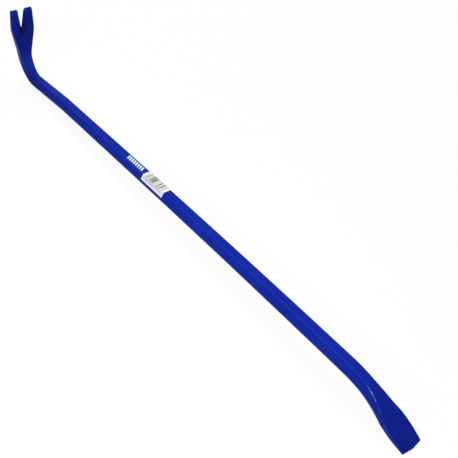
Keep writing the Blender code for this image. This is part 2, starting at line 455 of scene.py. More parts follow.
@dataclass(frozen=True)
class Centreline:
    """The bent line that the bar follows, in the XZ plane."""

    blade: float = 0.0635
    crank_radius: float = 0.168
    crank_turn: float = radians(21.8)
    bow: float = 0.500
    bow_turn: float = radians(1.6)
    straight: float = 0.272
    sway_radius: float = 0.192
    sway_turn: float = radians(3.1)
    drop: float = 0.1145
    heel_radius: float = 0.0455
    heel_turn: float = radians(103.3)
    claw: float = 0.093

    @property
    def heel(self) -> float:
        """Length of the heel's arc."""
        return self.heel_radius * self.heel_turn

    @property
    def runs(self) -> tuple[Run, ...]:
        """The stretches in order."""
        return (
            Run(self.blade),
            Run(self.crank_radius * self.crank_turn, -self.crank_turn),
            Run(self.bow, -self.bow_turn),
            Run(self.straight),
            Run(self.sway_radius * self.sway_turn, -self.sway_turn),
            Run(self.drop),
            Run(self.heel, self.heel_turn),
            Run(self.claw),
        )

    @property
    def length(self) -> float:
        """Whole length."""
        return sum(run.length for run in self.runs)

    def at(self, position: float) -> Triple:
        """Where the line is.

        Args:
            position: distance from the chisel's edge.

        Returns:
            x, z and the heading, which is 0 along -X and turns toward +Z.
        """
        x, z = 0.0, 0.0
        heading = self.crank_turn + self.bow_turn
        left = position
        for run in self.runs:
            covered = min(left, run.length)
            if run.turn == 0.0:
                x -= covered * cos(heading)
                z += covered * sin(heading)
            else:
                bend = run.turn / run.length
                end = heading + bend * covered
                x -= (sin(end) - sin(heading)) / bend
                z += (cos(heading) - cos(end)) / bend
                heading = end
            left -= covered
            if left <= 0:
                break
        return x, z, heading

    def placed(
        self, position: float, across: float = 0.0, height: float = 0.0, ahead: float = 0.0
    ) -> Vector:
        """A point beside the line.

        Args:
            position: distance from the chisel's edge.
            across: distance along Y.
            height: distance above the line, square to it.
            ahead: distance along the line's direction there, toward the claw.

        Returns:
            The point.
        """
        x, z, heading = self.at(position)
        along = Vector((-cos(heading), 0.0, sin(heading)))
        upward = Vector((sin(heading), 0.0, cos(heading)))
        return Vector((x, across, z)) + upward * height + along * ahead

    def upward(self, position: float) -> Vector:
        """The direction square off the line's upper side."""
        return self.placed(position, height=1.0) - self.placed(position)

    def backward(self, position: float) -> Vector:
        """The line's direction toward the chisel."""
        return self.placed(position) - self.placed(position, ahead=1.0)

    def marks(self, arc_step: float, straight_step: float) -> list[float]:
        """Positions along the line at which its bends are followed closely.

        Args:
            arc_step: the most that a bend turns between two of them.
            straight_step: the most that lies between two of them on a straight or slight bend.

        Returns:
            The positions, from the first run's end on.
        """
        found = []
        start = 0.0
        for run in self.runs:
            steps = max(round(abs(run.turn) / arc_step), round(run.length / straight_step), 1)
            found += [start + run.length * step / steps for step in range(1, steps + 1)]
            start += run.length
        return found


@dataclass(frozen=True)
class Notch:
    """The V between the prongs, wider and deeper in the claw's front than in its back."""

    front_width: float = 0.018
    front_depth: float = 0.058
    front_end: float = 0.010
    front_rounding: float = 0.0009
    back_mouth: float = 0.0125
    back_depth: float = 0.042
    back_end: float = 0.0008
    back_rounding: float = 0.0003
    corner_depth: float = 0.0035
    corner_cut: float = 0.0025
    end_squareness: float = 6.0
    margin: float = 0.006
    steps: int = 26
    rounding_steps: int = 4
    rise: float = 0.2
    share_before: float = 0.01

    def _cut_at(self, depth: float) -> float:
        """How far the prongs' inner corners are cut back at this depth, on each side."""
        return self.corner_cut * max(0.0, 1 - depth / self.corner_depth)

    def front_half(self, share: float) -> float:
        """Half the notch's width in the claw's front.

        Args:
            share: the place, as a share of the notch's depth.

        Returns:
            Half the width there.
        """
        rounding = sqrt(1 - max(share, 0.0) ** self.end_squareness)
        width = self.front_end + (self.front_width - self.front_end) * rounding
        return width / 2 + self._cut_at(self.front_depth * share)

    def back_half(self, share: float) -> float:
        """Half the notch's width in the claw's back, at a share of its depth."""
        width = self.back_end + (self.back_mouth - self.back_end) * (1 - share)
        return width / 2 + self._cut_at(self.back_depth * share)

    def outward(self, half: Callable[[float], float], depth: float, share: float) -> Pair:
        """The way off the notch in the claw's face.

        Args:
            half: the notch's half width by share of its depth.
            depth: its whole depth.
            share: the share at which the way is wanted.

        Returns:
            The way's parts across the claw and deeper down it.
        """
        near = max(share - self.share_before, 0.0)
        across = depth * (share - near)
        narrowing = half(near) - half(share)
        reach = sqrt(across ** 2 + narrowing ** 2)
        if reach == 0.0:
            return 1.0, 0.0
        return across / reach, 1.0 if share == 1.0 else narrowing / reach

    def shares(self) -> list[float]:
        """How far down the notch each ring of its cutter lies, closer together at its end.

        Returns:
            The shares of its depth, from above the tips on.
        """
        corner = self.corner_depth / self.back_depth
        steps = [sin(pi / 2 * step / self.steps) for step in range(self.steps + 1)]
        return [-self.margin / self.back_depth, 0.0] + [corner + (1 - corner) * step for step in steps]


@dataclass(frozen=True)
class BarSection:
    """How the bar's section changes along it: a hexagon that is drawn out into the chisel and the claw."""

    line: Centreline = field(default_factory=Centreline)
    across_flats: float = 0.024
    slant: float = pi / 3
    corner_softening: float = 0.0012
    largest_cut_share: float = 0.35
    corner_steps: int = 6
    face_divisions: int = 6
    edge_width: float = 0.0343
    edge_thickness: float = 0.002
    edge_crown: float = 0.0022
    blade_width: float = 0.037
    blade_widest_back: float = 0.022
    waist_width: float = 0.0293
    waist_back: float = 0.060
    square_back: float = 0.042
    wedge_back: float = 0.091
    neck_width: float = 0.023
    neck_share: float = 0.9
    heel_thickness: float = 0.023
    heel_thickest_share: float = 0.6
    prong_width: float = 0.0465
    prong_back: float = 0.043
    tip_width: float = 0.0445
    tip_thickness: float = 0.0055
    tip_edge: float = 0.0018
    tip_bevel: float = 0.0045
    taper_easing: float = 0.008
    easing_samples: tuple[float, ...] = (-1.0, -0.75, -0.5, -0.25, 0.0, 0.25, 0.5, 0.75, 1.0)

    @property
    def across_corners(self) -> float:
        """The hexagon's width across its corners."""
        return 2 * self.across_flats / sqrt(3)

    @property
    def flat_width(self) -> float:
        """The width of one of the hexagon's flats."""
        return self.across_flats / sqrt(3)

    @property
    def heel_start(self) -> float:
        """Where the heel's arc starts."""
        return self.line.length - self.line.claw - self.line.heel

    @property
    def neck(self) -> float:
        """Where the claw is narrowest."""
        return self.heel_start + self.neck_share * self.line.heel

    @property
    def kink(self) -> float:
        """Where the prongs are widest."""
        return self.line.length - self.prong_back

    @property
    def bevel_start(self) -> float:
        """Where the ground bevel of the tips starts."""
        return self.line.length - self.tip_bevel

    @property
    def widths(self) -> Profile:
        """Full widths along the bar, before they are eased."""
        return Profile((
            (0.0, self.edge_width),
            (self.blade_widest_back, self.blade_width),
            (self.waist_back, self.waist_width),
            (self.wedge_back, self.across_corners),
            (self.heel_start, self.across_corners),
            (self.neck, self.neck_width),
            (self.kink, self.prong_width),
            (self.line.length, self.tip_width),
        ))

    @property
    def thicknesses(self) -> Profile:
        """Full thicknesses along the bar."""
        return Profile((
            (0.0, self.edge_thickness),
            (self.wedge_back, self.across_flats),
            (self.heel_start, self.across_flats),
            (self.heel_start + self.heel_thickest_share * self.line.heel, self.heel_thickness),
            (self.bevel_start, self.tip_thickness),
            (self.line.length, self.tip_thickness),
        ))

    @property
    def squareness(self) -> Profile:
        """The section's form along the bar: 0 is the hexagon, 1 a rectangle."""
        marks = ((self.square_back, 1.0), (self.wedge_back, 0.0), (self.heel_start, 0.0), (self.neck, 1.0))
        return Profile(marks)

    def width_at(self, position: float) -> float:
        """The full width, averaged over the easing length, which shrinks to nothing at the bar's ends.

        Args:
            position: distance from the chisel's edge.

        Returns:
            The width there.
        """
        reach = min(self.taper_easing, position, self.line.length - position)
        widths = [self.widths.at(position + reach * share) for share in self.easing_samples]
        return sum(widths) / len(widths)

    def _cut_back(self, corner: Vector, neighbour: Vector) -> Vector:
        """Where a rounded corner meets the side toward this neighbour."""
        side = neighbour - corner
        return corner + side * min(self.corner_softening / side.length, self.largest_cut_share)

    def _rounded(self, corners: Sequence[Vector]) -> list[Vector]:
        """The polygon with each corner drawn as a curve, and with points that divide its level sides.

        Args:
            corners: the sharp corners in order.

        Returns:
            The points of the rounded outline.
        """
        points = []
        for index, corner in enumerate(corners):
            after = corners[(index + 1) % len(corners)]
            start = self._cut_back(corner, corners[index - 1])
            end = self._cut_back(corner, after)
            points += curved(start, corner, end, self.corner_steps)
            if corner.y == after.y:
                far = self._cut_back(after, corner)
                shares = [step / self.face_divisions for step in range(1, self.face_divisions)]
                points += [end.lerp(far, share) for share in shares]
        return points

    def front_at(self, position: float) -> float:
        """Height of the claw's front, or the chisel's top, over the centreline.

        Args:
            position: distance from the chisel's edge.

        Returns:
            The height there, lower where the tips are ground.
        """
        thick = self.thicknesses.at(position) / 2
        ground = max(0.0, (position - self.bevel_start) / self.tip_bevel)
        return thick * (1 - ground) + (self.tip_edge - thick) * ground

    def outline(self, position: float, inset: float = 0.0) -> list[Vector]:
        """The section's outline.

        Args:
            position: distance from the chisel's edge.
            inset: how far the outline is drawn in.

        Returns:
            Its points as (across, height), in order round it.
        """
        half = self.width_at(position) / 2 - inset
        back = inset - self.thicknesses.at(position) / 2
        front = self.front_at(position) - inset
        shoulder = half * (1 + self.squareness.at(position)) / 2
        middle = (front + back) / 2
        return self._rounded([
            Vector((half, middle)),
            Vector((shoulder, front)),
            Vector((-shoulder, front)),
            Vector((-half, middle)),
            Vector((-shoulder, back)),
            Vector((shoulder, back)),
        ])

    def ring(self, position: float, inset: float = 0.0) -> list[Vector]:
        """The outline as points in space, with the chisel's edge crowned in its middle.

        Args:
            position: distance from the chisel's edge.
            inset: how far the outline is drawn in.

        Returns:
            The ring's points.
        """
        half = self.width_at(position) / 2
        crown = self.edge_crown * max(0.0, 1 - position / self.square_back)
        return [
            self.line.placed(position, point.x, point.y, -crown * (1 - abs(point.x) / half))
            for point in self.outline(position, inset)
        ]


def share_of_one(value: float) -> float:
    """The value, kept between 0 and 1."""
    return min(max(value, 0.0), 1.0)


def curved(start: Vector, corner: Vector, end: Vector, steps: int) -> list[Vector]:
    """The points of a curve in straight steps that leaves one side of a corner and meets the other."""
    shares = [step / steps for step in range(steps + 1)]
    return [start.lerp(corner, share).lerp(corner.lerp(end, share), share) for share in shares]


def lofted(rings: Sequence[Sequence[Vector]]) -> BMesh:
    """A closed skin: the first ring's face is extruded to each of the other rings in turn.

    Args:
        rings: rings of equally many points.

    Returns:
        The skin.
    """
    bm = bmesh.new()
    end = bm.faces.new([bm.verts.new(point) for point in rings[0]])
    for index, points in enumerate(rings[1:]):
        made = bmesh.ops.extrude_face_region(bm, geom=[end])["geom"]
        if index > 0:
            bmesh.ops.delete(bm, geom=[end], context="FACES_ONLY")
        end = next(item for item in made if isinstance(item, BMFace))
        for vert, point in zip(end.verts, points):
            vert.co = point
    bmesh.ops.recalc_face_normals(bm, faces=bm.faces)
    return bm


def new_object(name: str, bm: BMesh, materials: Iterable[Material] = ()) -> Object:
    """Makes an object of a bmesh and frees it.

    Args:
        name: the object's name.
        bm: its mesh.
        materials: its materials, in the order of the faces' material numbers.

    Returns:
        The object, at the origin and linked to the scene.
    """
    mesh = bpy.data.meshes.new(name)
    bm.to_mesh(mesh)
    bm.free()
    for material in materials:
        mesh.materials.append(material)
    piece = bpy.data.objects.new(name, mesh)
    bpy.context.scene.collection.objects.link(piece)
    return piece


def resting_place(points: Sequence[Vector], rounds: int = 8) -> Matrix:
    """The move that lays the bar on z = 0, on its chisel's edge and its heel, with its box over the origin.

    Args:
        points: the bar's points, in the frame that it is built in.
        rounds: how often the turn is corrected.

    Returns:
        The move.
    """
    cloud = np.array(points)
    far_half = cloud[:, 0] < cloud[:, 0].mean()
    turn = 0.0
    for _ in range(rounds):
        turned = cloud @ np.array(Matrix.Rotation(turn, 3, "Y")).T
        lowest = [half[half[:, 2].argmin()] for half in (turned[far_half], turned[~far_half])]
        turn -= atan2(lowest[0][2] - lowest[1][2], lowest[1][0] - lowest[0][0])
    rotation = Matrix.Rotation(turn, 4, "Y")
    turned = cloud @ np.array(rotation.to_3x3()).T
    middle = (turned[:, 0].min() + turned[:, 0].max()) / 2
    return Matrix.Translation((-middle, 0.0, -turned[:, 2].min())) @ rotation


def keep_inside(bm: BMesh) -> None:
    """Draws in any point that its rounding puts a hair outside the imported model's box.

    Args:
        bm: a mesh at rest, which is changed.
    """
    low, high = CAD_BOX
    for vert in bm.verts:
        vert.co = Vector(min(max(place, least), most) for place, least, most in zip(vert.co, low, high))


# Sub-assemblies


@dataclass
class Forging:
    """The bar itself: one forging, enamelled all over, with its notch cut and its edges rounded."""

    section: BarSection = field(default_factory=BarSection)
    notch: Notch = field(default_factory=Notch)
    finish: Enamel = BAR_ENAMEL
    arc_step: float = radians(2)
    straight_step: float = 0.02
    taper_step: float = 0.0025
    least_spacing: float = 0.0008
    end_rounding: float = 0.0004
    end_steps: int = 4
    merge_distance: float = 0.00001
    smooth_angle: float = radians(40)
    rounded_face_width: float = 0.0005
    ridge_tilts: Pair = (radians(20), radians(42))
    # Painted glint on the blade's upper ridges, between these distances back from the chisel's edge, fading
    # in toward the edge.
    glint_ends: Pair = (0.046, 0.0905)
    glint_fade: float = 0.030
    glint_fade_power: int = 2
    # Painted shade on the notch's steep walls, reaching so far from the tips and deepest at this depth.
    notch_shade_slopes: Pair = (0.95, 0.60)
    notch_shade_reach: float = 0.060
    notch_shade_depth: float = 0.045
    # Painted highlights: on the tips' bevels, on the blade's sides, along the ridges past the glint, and as a
    # spot on the heel's inner curve.
    tip_highlight_reach: float = 0.0075
    tip_highlight_share: float = 0.9
    ridge_highlight_length: float = 0.36
    side_slope: float = 0.8
    side_highlight: float = 0.6
    heel_highlight: float = 1.5
    heel_highlight_reach: float = 0.034
    heel_highlight_place: float = 0.62

    def stations(self) -> list[float]:
        """Where the bar's rings lie: along the bends, at each change of size, and closely on both tapers.

        Returns:
            Their positions in order.
        """
        section, line = self.section, self.section.line
        # A ring also lies where the tips' painted highlight ends.
        marks = {0.0, line.length - self.tip_highlight_reach, *line.marks(self.arc_step, self.straight_step)}
        for profile in (section.widths, section.thicknesses):
            marks.update(position for position, _ in profile.marks)
        for start, end in ((0.0, section.wedge_back), (section.neck, section.kink)):
            marks.update(np.arange(start, end + section.taper_easing, self.taper_step))
        ordered = [0.0]
        for mark in sorted(marks):
            if mark - ordered[-1] > self.least_spacing:
                ordered.append(float(mark))
        ordered[-1] = line.length
        return ordered

    def _rings(self) -> list[list[Vector]]:
        """The bar's rings, drawn in at both ends so that their edges are round.

        Returns:
            The rings, from the chisel's edge on.
        """
        section, rounding = self.section, self.end_rounding
        length = section.line.length
        inner = [place for place in self.stations() if rounding < place < length - rounding]
        angles = [pi / 2 * step / self.end_steps for step in range(self.end_steps + 1)]
        ends = [(rounding * (1 - sin(angle)), rounding * (1 - cos(angle))) for angle in angles]
        near = [section.ring(back, inset) for back, inset in reversed(ends)]
        far = [section.ring(length - back, inset) for back, inset in ends]
        return near + [section.ring(place) for place in inner] + far

    @property
    def _upward(self) -> Vector:
        """The direction off the claw's front at its tips."""
        return self.section.line.upward(self.section.line.length)

    @property
    def _down(self) -> Vector:
        """The direction down the claw from its tips."""
        return self.section.line.backward(self.section.line.length)

    def _claw_point(self, depth: float, across: float, height: float) -> Vector:
        """A point of the claw at this depth below its tips, or beyond them where the depth is negative."""
        line = self.section.line
        return line.placed(line.length - max(depth, 0.0), across, height, ahead=max(-depth, 0.0))

    def _off_notch(self, half: Callable[[float], float], depth: float, share: float, side: int) -> Vector:
        """The way off the notch in a face of the claw, as a vector."""
        across, deeper = self.notch.outward(half, depth, share)
        return Vector((0.0, side * across, 0.0)) + self._down * deeper

    def _notch_side(self, share: float, side: int) -> list[Vector]:
        """One side of the notch's outline, from in front of the claw to behind it, with rounded edges.

        Args:
            share: how far down the notch, as a share of its depth.
            side: 1 toward +Y, -1 toward -Y.

        Returns:
            The points.
        """
        notch, section, length = self.notch, self.section, self.section.line.length
        upward = self._upward
        front_depth = notch.front_depth * share
        back_depth = notch.back_depth * share
        front_height = section.front_at(min(length - front_depth, length))
        back_height = -section.thicknesses.at(length - back_depth) / 2
        front = self._claw_point(front_depth, side * notch.front_half(share), front_height)
        back = self._claw_point(back_depth, side * notch.back_half(share), back_height)
        wall = (back - front).normalized()
        off_front = self._off_notch(notch.front_half, notch.front_depth, share, side)
        off_back = self._off_notch(notch.back_half, notch.back_depth, share, side)
        over_front = front + (off_front + upward * notch.rise) * notch.front_rounding
        under_back = back + (off_back - upward * notch.rise) * notch.back_rounding
        return [
            over_front + upward * notch.margin,
            *curved(over_front, front, front + wall * notch.front_rounding, notch.rounding_steps),
            *curved(back - wall * notch.back_rounding, back, under_back, notch.rounding_steps),
            under_back - upward * notch.margin,
        ]

    def _notch_cutter(self) -> Object:
        """What is taken out between the prongs, with its last face laddered across so that it is even.

        Returns:
            The cutter.
        """
        sides = [[self._notch_side(share, side) for side in (-1, 1)] for share in self.notch.shares()]
        bm = lofted([left[::-1] + right for left, right in sides])
        bm.verts.ensure_lookup_table()
        count = len(sides[0][0])
        last = bm.verts[-2 * count:]
        for rung in range(1, count - 1):
            bmesh.ops.connect_verts(bm, verts=[last[count - 1 - rung], last[count + rung]])
        bmesh.ops.recalc_face_normals(bm, faces=bm.faces)
        return new_object("notch_cutter", bm)

    def _notched(self, blank: Object) -> BMesh:
        """Cuts the notch.

        Args:
            blank: the bar without its notch; it is used up.

        Returns:
            The bar's mesh with the notch.
        """
        cutter = self._notch_cutter()
        cut = blank.modifiers.new("notch", "BOOLEAN")
        cut.operation = "DIFFERENCE"
        cut.solver = "EXACT"
        cut.object = cutter
        bpy.context.view_layer.update()
        evaluated = blank.evaluated_get(bpy.context.evaluated_depsgraph_get())
        bm = bmesh.new()
        bm.from_mesh(evaluated.to_mesh())
        evaluated.to_mesh_clear()
        for used in (blank, cutter):
            mesh = used.data
            bpy.data.objects.remove(used)
            bpy.data.meshes.remove(mesh)
        bmesh.ops.remove_doubles(bm, verts=bm.verts, dist=self.merge_distance)
        bmesh.ops.dissolve_degenerate(bm, edges=bm.edges, dist=self.merge_distance)
        bmesh.ops.recalc_face_normals(bm, faces=bm.faces)
        return bm

    def _edge(self, vert: BMVert) -> float:
        """1 on a rounded edge, where all the faces round the point are narrow, and 0 elsewhere."""
        widths = [2 * face.calc_area() / face.calc_perimeter() for face in vert.link_faces]
        return float(max(widths) < self.rounded_face_width)

    def _back(self, vert: BMVert) -> float:
        """How far a point lies back from the chisel's edge, along the blade."""
        edge, blade_end = (self.section.line.placed(place) for place in (0.0, self.section.line.blade))
        return (vert.co - edge).dot((blade_end - edge).normalized())

    def _below_tips(self, vert: BMVert) -> Pair:
        """How far a point lies from the middle of the claw's tips, and how far down the claw."""
        from_tips = vert.co - self.section.line.placed(self.section.line.length)
        return from_tips.length, from_tips.dot(self._down)

    def _on_ridge(self, vert: BMVert) -> bool:
        """Whether a point lies on the rounding of an upper ridge, in the chisel's half of the bar."""
        tilt = vert.normal.angle(self.section.line.upward(0.0))
        return self._edge(vert) > 0 and self.ridge_tilts[0] < tilt < self.ridge_tilts[1]

    def _glint(self, vert: BMVert) -> float:
        """How much painted glint a point gets: only the blade's upper ridges get it, and less toward the
        edge.

        Args:
            vert: the point.

        Returns:
            The strength, from 0 to 1.
        """
        near, far = self.glint_ends
        back = self._back(vert)
        if near < back < far and self._on_ridge(vert):
            return min(1.0, (back - near) / self.glint_fade) ** self.glint_fade_power
        return 0.0

    def _notch_shade(self, vert: BMVert) -> float:
        """How much painted shade a point gets: on the notch's steep walls, more toward its bottom.

        Args:
            vert: the point.

        Returns:
            The strength, from 0 to 1.
        """
        from_tips, down = self._below_tips(vert)
        widest = self.notch.front_width / 2 + self.notch.front_rounding
        if abs(vert.co.y) > widest or not self.section.tip_bevel < from_tips < self.notch_shade_reach:
            return 0.0
        level, steep = self.notch_shade_slopes
        slope = abs(vert.normal.dot(self._upward))
        return share_of_one(down / self.notch_shade_depth) * share_of_one((level - slope) / (level - steep))

    def _highlight(self, vert: BMVert) -> float:
        """How much painted highlight a point gets: on the tips, the blade's sides, the ridges and in the
        heel.

        Args:
            vert: the point.

        Returns:
            The strength, which is 1 on the tips and may be more in the middle of the heel.
        """
        section, line = self.section, self.section.line
        from_tips, down = self._below_tips(vert)
        # A painted highlight on the tips' ground bevels.
        if from_tips < section.tip_width and down < self.tip_highlight_share * self.tip_highlight_reach:
            return 1.0
        back = self._back(vert)
        # A painted highlight on the blade's sides.
        if back < section.square_back:
            return self.side_highlight if abs(vert.normal.y) > self.side_slope else 0.0
        far = self.glint_ends[1]
        # A painted highlight along the ridges beyond the glint.
        if far < back < far + self.ridge_highlight_length and self._on_ridge(vert):
            return 1 - (back - far) / self.ridge_highlight_length
        # A painted highlight spot on the heel's inner curve, strongest in its middle.
        heel_middle = section.heel_start + self.heel_highlight_place * line.heel
        heel = line.placed(heel_middle, height=section.heel_thickness / 2)
        return max(0.0, self.heel_highlight * (1 - (vert.co - heel).length / self.heel_highlight_reach))

    def _mark(self, bm: BMesh) -> None:
        """Marks the rounded edges and where the painted light and shade lie, one attribute for each.

        Args:
            bm: the bar's mesh, which gets the attributes.
        """
        bm.normal_update()
        strengths = {
            PaintedLight.EDGE: self._edge,
            PaintedLight.GLINT: self._glint,
            PaintedLight.NOTCH_SHADE: self._notch_shade,
            PaintedLight.HIGHLIGHT: self._highlight,
        }
        for painted_mark, strength in strengths.items():
            layer = bm.verts.layers.float.new(painted_mark.value)
            for vert in bm.verts:
                vert[layer] = strength(vert)

    def build(self, effects: SharedEffects) -> tuple[Object, Matrix]:
        """Builds the forging.

        Args:
            effects: the shared node groups.

        Returns:
            The piece, and the move that laid it to rest.
        """
        blank = new_object("bar_blank", lofted(self._rings()))
        rest = resting_place([vert.co.copy() for vert in blank.data.vertices])
        bm = self._notched(blank)
        self._mark(bm)
        bmesh.ops.transform(bm, matrix=rest, verts=bm.verts)
        keep_inside(bm)
        piece = new_object("forged_bar_coat", bm, [self.finish.material(effects)])
        piece.data.shade_smooth()
        piece.data.set_sharp_from_angle(angle=self.smooth_angle)
        evened = piece.modifiers.new("even_flats", "WEIGHTED_NORMAL")
        evened.keep_sharp = True
        return piece, rest


@dataclass
class Label(ABC):
    """What both labels share: a thin sheet pressed on the shaft, cut along the borders of its print."""

    name: str = ""
    finishes: tuple[Finish, ...] = ()
    section: BarSection = field(default_factory=BarSection)
    start: float = 0.0
    length: float = 0.0
    lift: float = 0.00004
    thickness: float = 0.00016
    cut_tolerance: float = 1e-7
    least_facing: float = 0.1

    @abstractmethod
    def outline(self) -> list[Vector]:
        """The sheet's section, as (across, height) in order round it."""

    @abstractmethod
    def cut_borders(self, bm: BMesh) -> None:
        """Cuts the borders of the print into the sheet's faces."""

    @abstractmethod
    def kind(self, point: Vector) -> Print:
        """What is printed at a point of the sheet."""

    def local_frame(self) -> Matrix:
        """The move from the label's own frame, where X runs along the bar, Y across it and Z off it.

        Returns:
            The move to the frame that the bar is built in.
        """
        line = self.section.line
        origin = line.placed(self.start)
        along = (line.placed(self.start + self.length) - origin).normalized()
        across = Vector((0.0, 1.0, 0.0))
        axes = Matrix((along, across, across.cross(along)))
        return Matrix.Translation(origin) @ axes.transposed().to_4x4()

    def strip(self) -> BMesh:
        """Extrudes the section to the label's length.

        Returns:
            The sheet, in the label's own frame.
        """
        bm = bmesh.new()
        face = bm.faces.new([bm.verts.new((0.0, point.x, point.y)) for point in self.outline()])
        made = bmesh.ops.extrude_face_region(bm, geom=[face])["geom"]
        moved = [item for item in made if isinstance(item, BMVert)]
        bmesh.ops.translate(bm, vec=(self.length, 0.0, 0.0), verts=moved)
        bmesh.ops.recalc_face_normals(bm, faces=bm.faces)
        return bm

    def cut(self, bm: BMesh, place: Vector, normal: Vector) -> None:
        """Cuts new edges into the faces along the plane through this place and square to this normal."""
        geom = [*bm.verts, *bm.edges, *bm.faces]
        bmesh.ops.bisect_plane(bm, geom=geom, plane_co=place, plane_no=normal, dist=self.cut_tolerance)

    def cut_at(self, bm: BMesh, places: Iterable[float]) -> None:
        """Cuts the sheet square across at each of these places along it."""
        for place in places:
            self.cut(bm, Vector((place, 0.0, 0.0)), Vector((1.0, 0.0, 0.0)))

    def build(self, effects: SharedEffects, rest: Matrix) -> Object:
        """Builds the label, gives each outer face the finish of its print, and lays it on the bar.

        Args:
            effects: the shared node groups.
            rest: the move that laid the bar to rest.

        Returns:
            The piece.
        """
        bm = self.strip()
        self.cut_borders(bm)
        for face in bm.faces:
            if face.normal.z > self.least_facing:
                face.material_index = int(self.kind(face.calc_center_median()))
        bmesh.ops.transform(bm, matrix=rest @ self.local_frame(), verts=bm.verts)
        bmesh.ops.recalc_face_normals(bm, faces=bm.faces)
        return new_object(self.name, bm, [finish.material(effects) for finish in self.finishes])


@dataclass
class PaperLabel(Label):
    """The white paper label: it folds over both upper ridges, with plain bars on a faintly tinted field."""

    name: str = "paper_label"
    finishes: tuple[Finish, ...] = (PAPER, INK, PAPER_FIELD)
    start: float = 0.5478
    length: float = 0.0626
    width: float = 0.033
    fold_steps: int = 4
    bars: tuple[Pair, ...] = (
        (0.0082, 0.0005),
        (0.0136, 0.0023),
        (0.0170, 0.0003),
        (0.0206, 0.0022),
        (0.0256, 0.0003),
        (0.0300, 0.0003),
        (0.0326, 0.0022),
        (0.0353, 0.0018),
        (0.0378, 0.0014),
        (0.0400, 0.0015),
        (0.0422, 0.0013),
        (0.0441, 0.0009),
        (0.0470, 0.0003),
        (0.0510, 0.0015),
        (0.0548, 0.0003),
    )
    field_near: float = -0.0128
    field_ends: Pair = (0.0045, 0.0585)
    bars_far: float = 0.0125
    bars_near: float = -0.0076
    ticks_near: float = -0.0116
    ticks_far: float = -0.0106
    tick_count: int = 12
    tick_start: float = 0.009
    tick_pitch: float = 0.0037
    tick_length: float = 0.0018

    @property
    def ticks(self) -> list[Pair]:
        """Where each tick starts along the label, and its length."""
        starts = [self.tick_start + self.tick_pitch * tick for tick in range(self.tick_count)]
        return [(start, self.tick_length) for start in starts]

    def _unrolled(self, point: Vector) -> float:
        """How far a point lies from the middle of the top flat, measured round the bar.

        Args:
            point: a point of the sheet.

        Returns:
            The distance, positive toward +Y.
        """
        half_flat = self.section.flat_width / 2
        if abs(point.y) <= half_flat:
            return point.y
        down = self.section.across_flats / 2 - point.z
        out = abs(point.y) - half_flat
        reach = out * cos(self.section.slant) + down * sin(self.section.slant)
        return (half_flat + reach) * (1 if point.y > 0 else -1)

    def _slant_cut(self, around: float) -> tuple[Vector, Vector]:
        """The plane that crosses a slanted flat at a distance round the bar.

        Args:
            around: that distance from the middle of the top flat.

        Returns:
            A point of the plane and its normal.
        """
        section, side = self.section, 1 if around > 0 else -1
        down = Vector((0.0, side * cos(section.slant), -sin(section.slant)))
        ridge = Vector((0.0, side * section.flat_width / 2, section.across_flats / 2))
        return ridge + down * (abs(around) - section.flat_width / 2), down

    def _half_line(self, gap: float) -> list[Vector]:
        """Half of the line that lies at a gap over the bar: the fold on the +Y side and the slanted part.

        Args:
            gap: how far it is off the flats.

        Returns:
            Its points, as (across, height), out to the sheet's edge.
        """
        section = self.section
        half_slant = section.slant / 2
        down = Vector((cos(section.slant), -sin(section.slant)))
        off_slant = Vector((cos(half_slant), sin(half_slant)))
        off_ridge = Vector((sin(half_slant), cos(half_slant))) / cos(half_slant)
        bare_ridge = Vector((section.flat_width / 2, section.across_flats / 2))
        ridge = bare_ridge + off_ridge * gap
        flat_end = Vector((ridge.x - section.corner_softening, ridge.y))
        fold = curved(flat_end, ridge, ridge + down * section.corner_softening, self.fold_steps)
        return [*fold, bare_ridge + down * (self.width / 2 - section.flat_width / 2) + off_slant * gap]

    def outline(self) -> list[Vector]:
        """The sheet's section: flat, folded round the two softened ridges, and flat again on each side.

        Returns:
            Its points, as (across, height) in order round it.
        """
        outer = self._half_line(self.lift + self.thickness)
        inner = self._half_line(self.lift)
        mirrored_outer = [Vector((-point.x, point.y)) for point in reversed(outer)]
        mirrored_inner = [Vector((-point.x, point.y)) for point in inner]
        return mirrored_outer + outer + inner[::-1] + mirrored_inner

    def cut_borders(self, bm: BMesh) -> None:
        """Cuts the borders of the field, the bars and the ticks.

        Args:
            bm: the sheet, which is changed.
        """
        ends = [place for start, length in (*self.bars, *self.ticks) for place in (start, start + length)]
        self.cut_at(bm, (*self.field_ends, *ends))
        for around in (self.bars_far, self.bars_near, self.ticks_near, self.ticks_far, self.field_near):
            self.cut(bm, *self._slant_cut(around))

    def kind(self, point: Vector) -> Print:
        """What is printed at a point of the label.

        Args:
            point: a point of the sheet.

        Returns:
            A bar or tick, the field's tint, or the bare margin.
        """
        around = self._unrolled(point)
        rows = ((self.bars, self.bars_near, self.bars_far), (self.ticks, self.ticks_near, self.ticks_far))
        for spans, near, far in rows:
            if near < around < far and any(start < point.x < start + length for start, length in spans):
                return Print.MARK
        low, high = self.field_ends
        return Print.TINT if low < point.x < high and self.field_near < around else Print.GROUND


